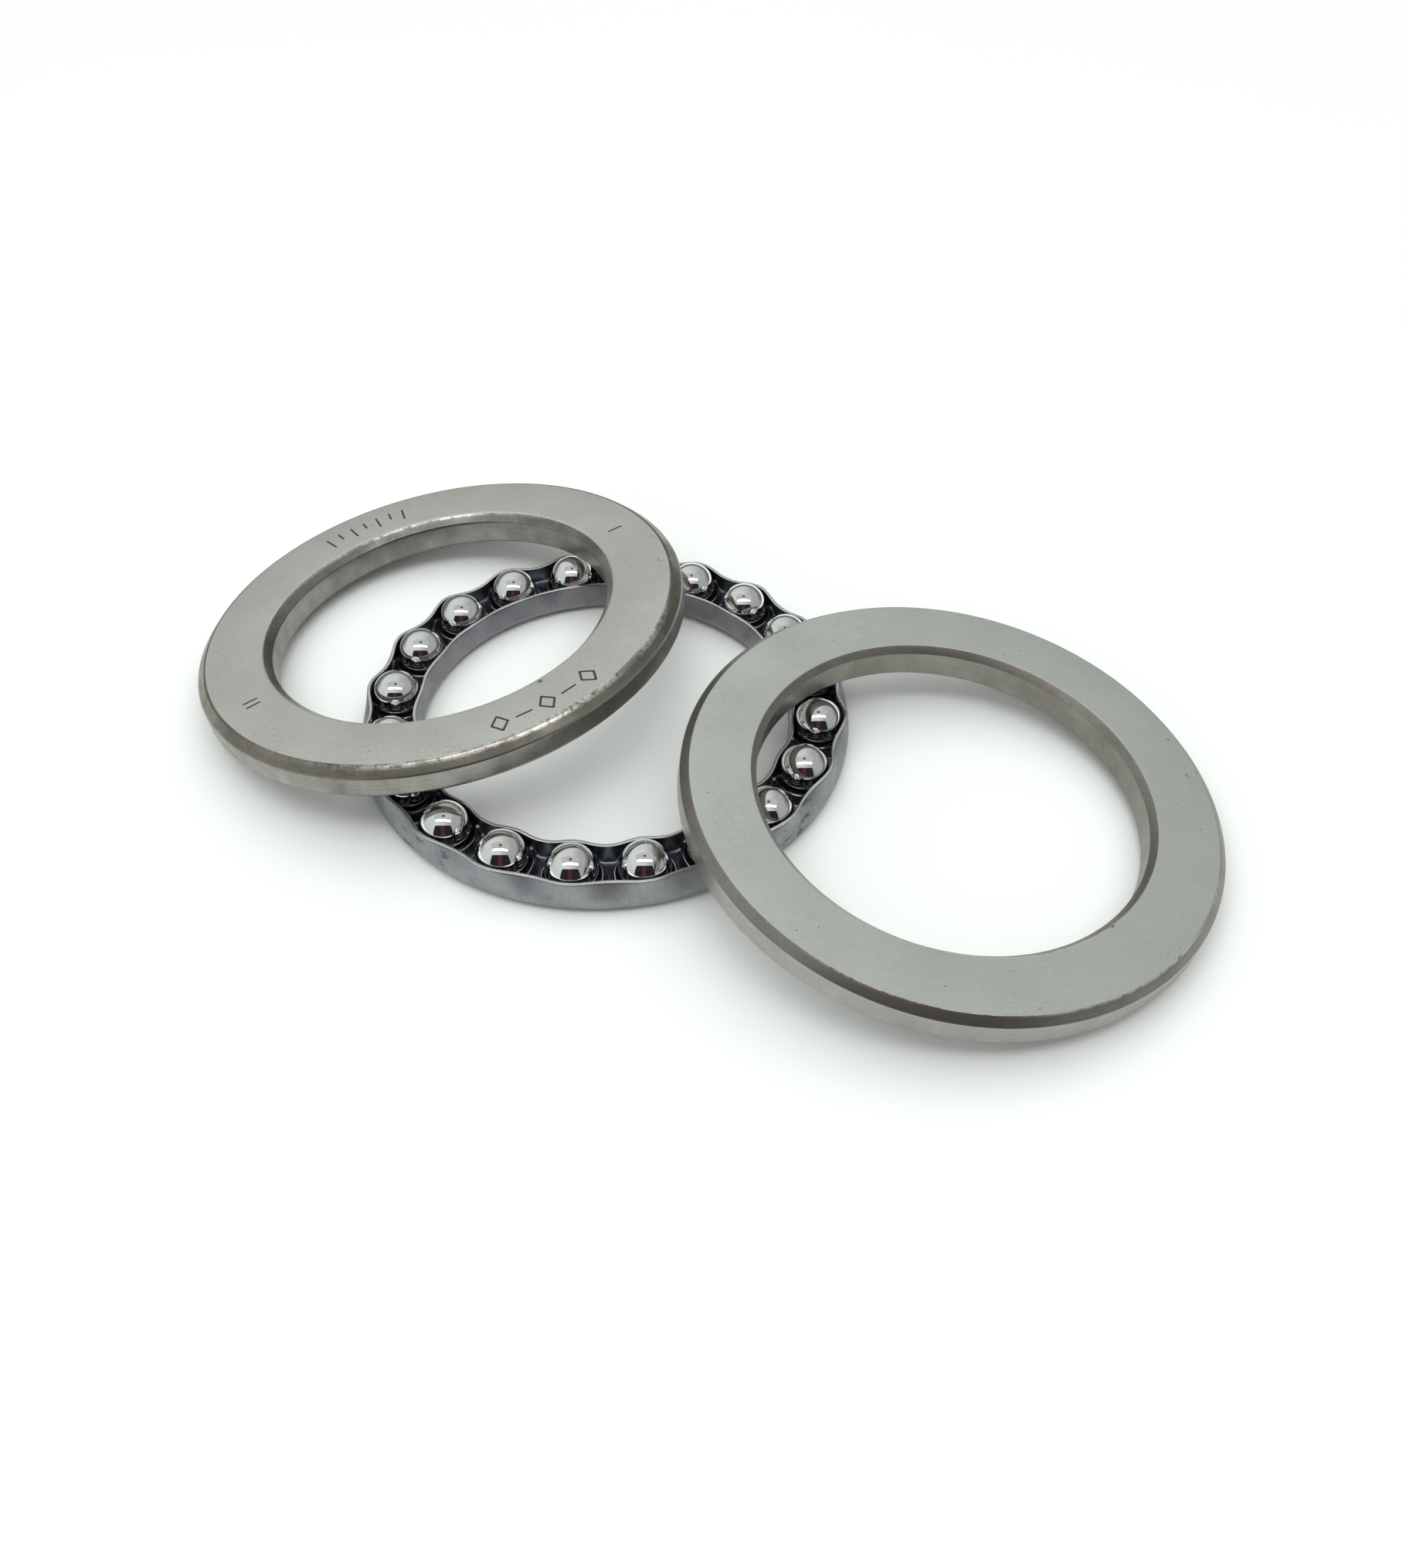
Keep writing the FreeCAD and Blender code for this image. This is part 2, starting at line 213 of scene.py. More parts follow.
def ground_steel(name, own, light, dark, rough_lo, rough_hi, specks=True, mottle=0.5):
    """Surface-ground hardened steel: fine matte grain, faint crossing
    grinding lines, soft clouding and a few dark pits."""
    m = Nodes(name, own)
    grain = m.noise(5200, 2.0, 0.7)
    fine = m.noise(1700, 3.0, 0.6)
    cloud = m.noise(95, 3.0, 0.5)
    lines_a = m.noise(1.0, 2.0, 0.5, vec=m.scaled(260, 5200, 600))
    lines_b = m.noise(1.0, 2.0, 0.5, vec=m.scaled(4300, 340, 600))
    tone = m.math("ADD", m.math("MULTIPLY", cloud, mottle), m.math("MULTIPLY", fine, 0.25))
    tone = m.math("ADD", tone, m.math("MULTIPLY", grain, 0.45))
    tone = m.math("ADD", tone, m.math("MULTIPLY", lines_a, 0.25))
    tone = m.math("ADD", tone, m.math("MULTIPLY", lines_b, 0.15))
    total = mottle + 0.25 + 0.45 + 0.25 + 0.15
    fac = m.ramp(m.math("DIVIDE", tone, total), [(0.36, 0.0), (0.62, 1.0)])
    col = m.mix(fac, dark, light)
    if specks:
        d = m.cells(330, feature="F1")
        pick = m.noise(140, 1.0, 0.5)
        size = m.ramp(pick, [(0.60, 0.0), (0.72, 0.16)])
        pit = m.math("LESS_THAN", d, m.math("MULTIPLY", size, 1.0))
        col = m.mix(m.math("MULTIPLY", pit, 0.7), col, (0.10, 0.095, 0.085))
        d2 = m.cells(820, feature="F1")
        size2 = m.ramp(m.noise(300, 2.0, 0.5), [(0.52, 0.0), (0.70, 0.17)])
        col = m.mix(m.math("MULTIPLY", m.math("LESS_THAN", d2, size2), 0.45), col, (0.16, 0.15, 0.135))
    # long, faint handling scratches in two directions
    xyz, _ = m.around()
    for deg in (34, 118):
        c_, s_ = math.cos(math.radians(deg)), math.sin(math.radians(deg))
        u = m.math("ADD", m.math("MULTIPLY", xyz[0], c_ * 85.0), m.math("MULTIPLY", xyz[1], s_ * 85.0))
        v = m.math("ADD", m.math("MULTIPLY", xyz[0], -s_ * 4800.0), m.math("MULTIPLY", xyz[1], c_ * 4800.0))
        mark = m.ramp(m.noise(1.0, 1.0, 0.5, vec=m.vec(u, v, 0.0)), [(0.69, 0.0), (0.74, 0.19)])
        col = m.mix(mark, col, (0.36, 0.35, 0.33))
    m.set("Base Color", col)
    m.set("Metallic", 1.0)
    r = m.ramp(m.math("DIVIDE", tone, total), [(0.35, rough_hi), (0.65, rough_lo)])
    m.set("Roughness", r)
    h = m.math("ADD", m.math("MULTIPLY", grain, 0.6), m.math("MULTIPLY", lines_a, 0.5))
    h = m.math("ADD", h, m.math("MULTIPLY", lines_b, 0.35))
    m.set("Normal", m.bump(h, 0.35, 0.00002))
    return m.mat


def turned_steel(name, own, light, dark, rough_lo, rough_hi, mottle, scuff=0.0, ridge=0.25, edge=None, wear_and_highlight_heading=None):
    """Turned or tumbled corner and rim: rings round the axis, mottled
    oxide tint, small scuffs that catch the light; round a given heading the bright worn patches are massed as a
    painted highlight."""
    m = Nodes(name, own)
    xyz, r = m.around()
    rings = m.noise(1.0, 3.0, 0.6, vec=m.vec(m.math("MULTIPLY", r, 7000.0), m.math("MULTIPLY", xyz[2], 7000.0), 0.0))
    blotch = m.noise(330, 4.0, 0.6)
    wide = m.noise(70, 3.0, 0.55)
    grit = m.noise(2600, 3.0, 0.65)
    tone = m.math("ADD", m.math("MULTIPLY", blotch, mottle), m.math("MULTIPLY", wide, mottle))
    tone = m.math("ADD", tone, m.math("MULTIPLY", grit, 0.3))
    tone = m.math("ADD", tone, m.math("MULTIPLY", rings, 0.35))
    total = 2 * mottle + 0.65
    norm = m.math("DIVIDE", tone, total)
    col = m.mix(m.ramp(norm, [(0.38, 0.0), (0.62, 1.0)]), dark, light)
    rough = m.ramp(norm, [(0.36, rough_hi), (0.64, rough_lo)])
    if scuff > 0:
        wear = m.noise(1500, 4.0, 0.75)
        scuff_and_sheen = m.ramp(wear, [(0.64, 0.0), (0.70, scuff)])
        if edge is not None:
            # depth below the back face, in units of the worn edge's width
            near = m.ramp(m.math("DIVIDE", m.math("MULTIPLY", xyz[2], -1.0), edge), [(0.0, 1.0), (0.5, 0.85), (1.0, 0.0)])
            edge_wear_and_sheen = m.ramp(m.math("ADD", m.math("MULTIPLY", wear, 0.75), m.math("MULTIPLY", wide, 0.25)), [(0.41, 0.0), (0.51, 1.0)])
            if wear_and_highlight_heading is not None:
                # handling wear is heaviest round one heading; the bright patches massed there are also a painted
                # highlight, put on the side where the lamp's highlight falls
                along = m.math("ADD", m.math("MULTIPLY", xyz[0], math.cos(wear_and_highlight_heading)), m.math("MULTIPLY", xyz[1], math.sin(wear_and_highlight_heading)))
                heavy_wear_and_highlight = m.ramp(m.math("DIVIDE", along, r), [(0.55, 0.08), (0.90, 1.0)])
                patch = m.ramp(m.noise(150, 3.0, 0.6), [(0.40, 0.30), (0.52, 1.0)])
                edge_wear_and_sheen = m.math("MULTIPLY", m.math("MULTIPLY", edge_wear_and_sheen, heavy_wear_and_highlight), patch)
            scuff_and_sheen = m.math("MAXIMUM", m.math("MULTIPLY", near, edge_wear_and_sheen), m.math("MULTIPLY", scuff_and_sheen, 0.45))
        # scuffs and worn patches take a bright bare-metal colour; where massed round the heading they are painted
        # highlight
        col = m.mix(scuff_and_sheen, col, (0.84, 0.82, 0.78))
        rough = m.mix(scuff_and_sheen, rough, (0.20, 0.20, 0.20))
    m.set("Base Color", col)
    m.set("Metallic", 1.0)
    m.set("Roughness", rough)
    h = m.math("ADD", m.math("MULTIPLY", rings, 0.6), m.math("MULTIPLY", grit, 0.6))
    h = m.math("ADD", h, m.math("MULTIPLY", blotch, 0.5))
    m.set("Normal", m.bump(h, ridge, 0.00003))
    return m.mat


def race_steel(name, own):
    """Honed raceway: bright, with fine rings round the axis."""
    m = Nodes(name, own)
    xyz, r = m.around()
    rings = m.noise(1.0, 2.0, 0.5, vec=m.vec(m.math("MULTIPLY", r, 12000.0), m.math("MULTIPLY", xyz[2], 12000.0), 0.0))
    smear = m.noise(160, 3.0, 0.5)
    m.set("Base Color", m.mix(m.ramp(smear, [(0.35, 0.0), (0.7, 1.0)]), (0.60, 0.60, 0.59), (0.74, 0.745, 0.74)))
    m.set("Metallic", 1.0)
    m.set("Roughness", m.ramp(m.math("ADD", m.math("MULTIPLY", rings, 0.5), m.math("MULTIPLY", smear, 0.5)), [(0.3, 0.10), (0.7, 0.22)]))
    m.set("Normal", m.bump(rings, 0.12, 0.00001))
    return m.mat


def cage_sheet(name, own, light, dark, rough_lo, rough_hi, smudge=0.0, relief=0.18, foot_floor_reflection=None, draw_part=0.16):
    """Cold-pressed sheet: drawing marks running up the wall, faint rolling
    grain, handling smudges; with a foot colour given, the bend at the foot is lightened as a painted reflection of the
    bright floor."""
    m = Nodes(name, own)
    draw = m.noise(1.0, 2.0, 0.6, vec=m.scaled(2600, 2600, 260))
    grain = m.noise(3300, 3.0, 0.6)
    cloud = m.noise(190, 4.0, 0.55)
    tone = m.math("ADD", m.math("MULTIPLY", draw, draw_part), m.math("MULTIPLY", cloud, 0.84 - draw_part))
    tone = m.math("ADD", tone, m.math("MULTIPLY", grain, 0.36))
    norm = m.math("DIVIDE", tone, 1.2)
    col = m.mix(m.ramp(norm, [(0.36, 0.0), (0.64, 1.0)]), dark, light)
    if smudge > 0:
        s = m.ramp(m.noise(1.0, 3.0, 0.6, vec=m.scaled(420, 420, 900)), [(0.57, 0.0), (0.66, smudge)])
        keep = m.ramp(m.noise(60, 2.0, 0.5), [(0.42, 0.0), (0.56, 1.0)])
        col = m.mix(m.math("MULTIPLY", s, keep), col, (0.10, 0.10, 0.11))
    if foot_floor_reflection is not None:
        # painted reflection: the bend at the foot is lightened as if it caught the bright floor
        xyz, r = m.around()
        f = m.ramp(m.math("ADD", m.math("MULTIPLY", xyz[2], 250.0), 0.85), [(0.22, 1.0), (0.44, 0.0)])
        col = m.mix(m.math("MULTIPLY", f, 0.75), col, foot_floor_reflection)
    m.set("Base Color", col)
    m.set("Metallic", 1.0)
    m.set("Roughness", m.ramp(norm, [(0.34, rough_hi), (0.66, rough_lo)]))
    h = m.math("ADD", m.math("MULTIPLY", draw, 0.35), m.math("MULTIPLY", grain, 0.5))
    m.set("Normal", m.bump(h, relief, 0.00002))
    return m.mat


def ball_chrome(name):
    """Lapped bearing ball: mirror finish with a breath of film and a few
    hair marks."""
    m = Nodes(name)
    film = m.noise(420, 4.0, 0.6)
    hair = m.noise(1.0, 2.0, 0.5, vec=m.scaled(500, 4200, 900))
    col = m.mix(m.ramp(film, [(0.40, 0.0), (0.70, 1.0)]), (0.83, 0.84, 0.83), (0.90, 0.905, 0.90))
    m.set("Base Color", col)
    m.set("Metallic", 1.0)
    m.set("Roughness", m.ramp(film, [(0.45, 0.025), (0.80, 0.085)]))
    m.set("Normal", m.bump(hair, 0.03, 0.000004))
    return m.mat


def etched(name, own):
    """Laser-etched mark: dull brown-black oxide."""
    m = Nodes(name, own)
    n = m.noise(4200, 3.0, 0.6)
    m.set("Base Color", m.mix(n, (0.035, 0.032, 0.028), (0.10, 0.092, 0.08)))
    m.set("Metallic", 0.35)
    m.set("Roughness", m.ramp(n, [(0.3, 0.55), (0.7, 0.75)]))
    m.set("Normal", m.bump(n, 0.3, 0.00001))
    return m.mat


FACE_S = ground_steel("shaft_face_ground", SHAFT, (0.845, 0.85, 0.79), (0.665, 0.67, 0.625), 0.36, 0.52)
FACE_H = ground_steel("housing_face_ground", HOUSING, (0.85, 0.88, 0.845), (0.69, 0.715, 0.685), 0.36, 0.52)
# the wear headings of the bevel and bore-edge materials point to where the lamp's highlight falls: painted highlight
BEVEL_S = turned_steel("shaft_bevel_tumbled", SHAFT, (0.31, 0.29, 0.25), (0.15, 0.135, 0.11), 0.26, 0.46, 0.6, scuff=0.9, ridge=0.45, edge=0.00050, wear_and_highlight_heading=heading(SHAFT, -56))
BORE_S = turned_steel("shaft_bore_edge", SHAFT, (0.36, 0.355, 0.335), (0.19, 0.182, 0.16), 0.24, 0.42, 0.6, scuff=0.9, ridge=0.4, edge=0.00042, wear_and_highlight_heading=heading(SHAFT, 112))
BEVEL_H = turned_steel("housing_bevel_turned", HOUSING, (0.33, 0.315, 0.285), (0.235, 0.22, 0.195), 0.34, 0.46, 0.35, scuff=0.8, ridge=0.3, edge=0.00020, wear_and_highlight_heading=heading(HOUSING, -72))
RIM_S = turned_steel("shaft_rim_ground", SHAFT, (0.39, 0.385, 0.36), (0.21, 0.20, 0.18), 0.26, 0.42, 0.6, ridge=0.25)
WALL_S = turned_steel("shaft_bore_ground", SHAFT, (0.34, 0.338, 0.315), (0.18, 0.175, 0.155), 0.28, 0.44, 0.6, ridge=0.3)
RIM_H = turned_steel("housing_rim_ground", HOUSING, (0.42, 0.41, 0.39), (0.31, 0.30, 0.28), 0.30, 0.42, 0.35, ridge=0.25)
WALL_H = turned_steel("housing_bore_ground", HOUSING, (0.29, 0.285, 0.26), (0.20, 0.19, 0.165), 0.30, 0.44, 0.5, ridge=0.3)
RACE_S = race_steel("shaft_raceway_honed", SHAFT)
RACE_H = race_steel("housing_raceway_honed", HOUSING)
BALL = ball_chrome("ball_lapped")
CAGE_OUT = cage_sheet("cage_outside", CAGE, (0.37, 0.38, 0.395), (0.265, 0.27, 0.29), 0.42, 0.54, smudge=0.85)
# the hole side of the cage is a darker copy of the outside sheet, painted shade, and its foot carries a painted
# reflection of the floor
CAGE_HOLE_PAINTED_SHADE = cage_sheet("cage_hole_side_painted_shade", CAGE, (0.27, 0.27, 0.29), (0.18, 0.18, 0.20), 0.36, 0.50, smudge=0.5, foot_floor_reflection=(0.40, 0.41, 0.41))
# the channel is a darker, bluer copy of the same sheet: painted shade standing in for the occluded inside of the
# channel
CAGE_CHANNEL_PAINTED_SHADE = cage_sheet("cage_channel", CAGE, (0.30, 0.315, 0.35), (0.235, 0.248, 0.28), 0.30, 0.38, relief=0.03)
# the bright sheared-edge sheet also paints the highlight along the collar ridges
CAGE_EDGE_AND_RIDGE_HIGHLIGHT = cage_sheet("cage_sheared_edge_and_ridge_highlight", CAGE, (0.80, 0.80, 0.80), (0.60, 0.60, 0.61), 0.18, 0.34)
ETCH = etched("etched_mark", SHAFT)


# ------------------------------------------------------------------ mesh help
def make(name, verts, faces, mats, mat_of=None, matrix=None, sharp=None):
    """A mesh from millimetres; faces are index tuples."""
    co = np.asarray(verts, float) * MM
    if matrix is not None:
        m4 = np.array(matrix)
        co = co @ m4[:3, :3].T + m4[:3, 3]
    me = bpy.data.meshes.new(name)
    me.from_pydata([tuple(v) for v in co], [], [tuple(int(i) for i in f) for f in faces])
    for mt in mats:
        me.materials.append(mt)
    if mat_of is not None:
        me.polygons.foreach_set("material_index", np.asarray(mat_of, np.int32))
    me.polygons.foreach_set("use_smooth", np.ones(len(me.polygons), bool))
    me.update()
    me.validate()
    if sharp is not None:
        me.set_sharp_from_angle(angle=math.radians(sharp))
    ob = bpy.data.objects.new(name, me)
    bpy.context.scene.collection.objects.link(ob)
    return ob


def rounded(points, seg=5):
    """Closed outline with its corners rounded.  points: (r, z, corner radius,
    material of the stretch that leaves the corner)."""
    out = []
    n = len(points)
    for i in range(n):
        p = np.array(points[i][:2], float)
        a = np.array(points[i - 1][:2], float)
        b = np.array(points[(i + 1) % n][:2], float)
        rad, mat = points[i][2], points[i][3]
        if rad <= 0:
            out.append((p[0], p[1], mat))
            continue
        u = (a - p) / np.linalg.norm(a - p)
        v = (b - p) / np.linalg.norm(b - p)
        ang = math.acos(max(-1, min(1, float(u @ v))))
        cut = rad / math.tan(ang / 2)
        cut = min(cut, 0.48 * np.linalg.norm(a - p), 0.48 * np.linalg.norm(b - p))
        rr = cut * math.tan(ang / 2)
        mid = (u + v) / np.linalg.norm(u + v)
        c = p + mid * (rr / math.sin(ang / 2))
        s0 = p + u * cut
        s1 = p + v * cut
        t0 = math.atan2(*(s0 - c)[::-1])
        t1 = math.atan2(*(s1 - c)[::-1])
        d = (t1 - t0 + math.pi) % (2 * math.pi) - math.pi
        for k in range(seg + 1):
            t = t0 + d * k / seg
            out.append((c[0] + rr * math.cos(t), c[1] + rr * math.sin(t), mat))
    return out


def lathe(name, outline, n, mats, matrix, sharp=30):
    """Turned ring from a closed outline of (r, z, material)."""
    o = np.array([(p[0], p[1]) for p in outline])
    m = len(o)
    th = np.linspace(0, 2 * math.pi, n, endpoint=False)
    v = np.stack([np.outer(np.cos(th), o[:, 0]), np.outer(np.sin(th), o[:, 0]), np.tile(o[:, 1], (n, 1))], -1).reshape(-1, 3)
    i = np.arange(n)[:, None] * m
    j = np.arange(m)[None, :]
    i2 = ((np.arange(n) + 1) % n)[:, None] * m
    j2 = (np.arange(m)[None, :] + 1) % m
    f = np.stack([i + j, i + j2, i2 + j2, i2 + j], -1).reshape(-1, 4)
    mat = np.tile(np.array([p[2] for p in outline]), n)
    ob = make(name, v, f, mats, mat, matrix, sharp)
    me = ob.data
    me.calc_loop_triangles()
    # outward faces: the signed volume has to be positive
    co = np.empty(len(me.vertices) * 3)
    me.vertices.foreach_get("co", co)
    co = co.reshape(-1, 3)
    tri = np.array([t.vertices[:] for t in me.loop_triangles])
    vol = np.einsum("ij,ij->i", co[tri[:, 0]], np.cross(co[tri[:, 1]], co[tri[:, 2]])).sum()
    if vol < 0:
        me.flip_normals()
    return ob


# ------------------------------------------------------------------ washers
def washer_outline(bore_r, rim_bevel, rim_soft, bore_bevel, bore_soft):
    """Material numbers: 0 back face, 1 outer bevel, 2 rim and shoulders,
    3 raceway, 4 bore bevel, 5 bore."""
    ro, th = 32.5, THICK
    groove, depth, rr = 3.43, 0.775, 1.0
    half = math.sqrt(groove ** 2 - (groove - depth) ** 2)
    cz = -th - (groove - depth)
    pts = [
        (bore_r + bore_bevel, 0.0, bore_soft, 0),
        (ro - rim_bevel, 0.0, rim_soft, 1),
        (ro, -rim_bevel, rim_soft, 2),
        (ro, -th + rr, 0.18, 1),
        (ro - rr, -th, 0.18, 2),
        (PITCH_R + half, -th, 0.05, 3),
    ]
    for k in range(1, 28):
        x = half - 2 * half * k / 28
        pts.append((PITCH_R + x, cz + math.sqrt(groove ** 2 - x ** 2), 0.0, 3))
    pts += [
        (PITCH_R - half, -th, 0.05, 2),
        (bore_r + 0.5, -th, 0.12, 5),
        (bore_r, -th + 0.5, 0.12, 5),
        (bore_r, -bore_bevel, bore_soft, 4),
    ]
    return rounded(pts)


shaft = lathe("shaft_washer_ground", washer_outline(22.5, 1.2, 0.55, 1.1, 0.5), 480, [FACE_S, BEVEL_S, RIM_S, RACE_S, BORE_S, WALL_S], SHAFT)
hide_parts("shaft_washer")
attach(shaft, "shaft_washer")

housing = lathe("housing_washer_ground", washer_outline(23.5, 0.95, 0.10, 0.8, 0.10), 480, [FACE_H, BEVEL_H, RIM_H, RACE_H, BEVEL_H, WALL_H], HOUSING)
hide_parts("housing_washer")
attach(housing, "housing_washer")


# ------------------------------------------------------------------ etched marks
def strip(verts, faces, r0, r1, a0, a1, w, z0=-0.03, z1=0.006):
    """A straight stroke of width w from polar (r0, a0) to (r1, a1), as a thin
    block let into the back face."""
    p = np.array([r0 * math.cos(a0), r0 * math.sin(a0)])
    q = np.array([r1 * math.cos(a1), r1 * math.sin(a1)])
    d = (q - p) / np.linalg.norm(q - p)
    s = np.array([-d[1], d[0]]) * w / 2
    e = d * w / 2
    loop = [p - s, p - e * 0.9, p + s, q + s, q + e * 0.9, q - s]
    b = len(verts)
    for z in (z0, z1):
        for c in loop:
            verts.append((c[0], c[1], z))
    n = len(loop)
    faces.append([b + n + k for k in range(n)][::-1])
    faces.append([b + k for k in range(n)])
    for k in range(n):
        k2 = (k + 1) % n
        faces.append([b + k, b + n + k, b + n + k2, b + k2])


mv, mf = [], []
W = 0.30
MID = 27.1
# graduation ticks, in groups, where such a washer carries its etched marks
a = heading(SHAFT, 121.4)
for k, (inner, outer) in enumerate(((-1.3, 1.3), (-0.3, 1.3), (-1.3, 1.3), (-0.3, 1.3), (-1.3, 1.3), (-0.3, 1.3), (-1.3, 1.3))):
    t = a - math.radians(4.0) * (k - 3)
    strip(mv, mf, MID + inner, MID + outer, t, t, W)
t = heading(SHAFT, 31.3)
strip(mv, mf, MID - 1.0, MID + 1.0, t, t, W)
t = heading(SHAFT, 216.4)
for dt in (-0.02, 0.02):
    strip(mv, mf, MID - 0.9, MID + 0.9, t + dt, t + dt, W)
a = heading(SHAFT, -53.5)
MID = 28.3
for k in range(5):
    t = a + math.radians(6.4) * (k - 2)
    h = math.radians(2.1)
    if k % 2 == 0:
        for (r0, t0, r1, t1) in ((1.45, 0, 0, h), (0, h, -1.45, 0), (-1.45, 0, 0, -h), (0, -h, 1.45, 0)):
            strip(mv, mf, MID + r0, MID + r1, t + t0, t + t1, W)
    else:
        strip(mv, mf, MID, MID, t - h, t + h, W)
marks = make("etched_marks", mv, mf, [ETCH], None, SHAFT)
me = marks.data
import bmesh
bm = bmesh.new()
bm.from_mesh(me)
bmesh.ops.recalc_face_normals(bm, faces=bm.faces)
bm.to_mesh(me)
bm.free()
for p in me.polygons:
    p.use_smooth = False
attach(marks, "shaft_washer")

# ------------------------------------------------------------------ cage
T = 0.42            # sheet
WEB = -2.43         # channel floor
LOW = -2.85         # underside
OUT_IN = 31.08      # outer wall, channel side, below
IN_IN = 24.14       # inner wall, channel side, below
BEND = 0.50
WEB_OUT = OUT_IN - BEND
WEB_IN = IN_IN + BEND
HALF = math.pi / COUNT


def smooth01(x):
    x = np.clip(x, 0, 1)
    return x * x * (3 - 2 * x)


def web_top(rho):
    """Height of the channel floor at a distance from a ball's axis: seat,
    upstanding collar, channel."""
    keys = np.array([0.0, 2.45, 2.62, 3.42, 3.50, 3.56, 3.62, 3.68, 3.74, 3.80, 3.87, 3.94, 4.01, 4.08, 4.16, 4.26, 9.0])
    vals = np.array([WEB, WEB, -2.32, -1.24, -1.12, -1.06, -1.04, -1.06, -1.14, -1.30, -1.58, -1.86, -2.09, -2.25, -2.37, WEB, WEB])
    return np.interp(rho, keys, vals)


def web_low(rho):
    """Underside: the sheet is dimpled up behind the collar."""
    b = np.exp(-((rho - 3.62) / 0.36) ** 2)
    return LOW + 0.75 * b


def wave(th):
    """1 at a ball, 0 midway between two balls."""
    return (0.5 * (1 + np.cos(COUNT * th))) ** 1.15


def outer_wall(th, z, side):
    """Radius of the outer wall; side 0 is the channel side, 1 the outside."""
    w = wave(th)
    rim = 29.86 + 0.86 * w
    top = 1.02 + 0.42 * w
    s = np.clip((z + 1.55) / (top + 1.55), 0, 1) ** 1.35
    return OUT_IN + (rim - OUT_IN) * s + side * T


def inner_wall(th, z, side):
    w = wave(th)
    rim = 24.67 - 0.39 * w
    top = 0.92 + 0.28 * w
    s = np.clip((z + 1.55) / (top + 1.55), 0, 1) ** 1.35
    return IN_IN + (rim - IN_IN) * s - side * T


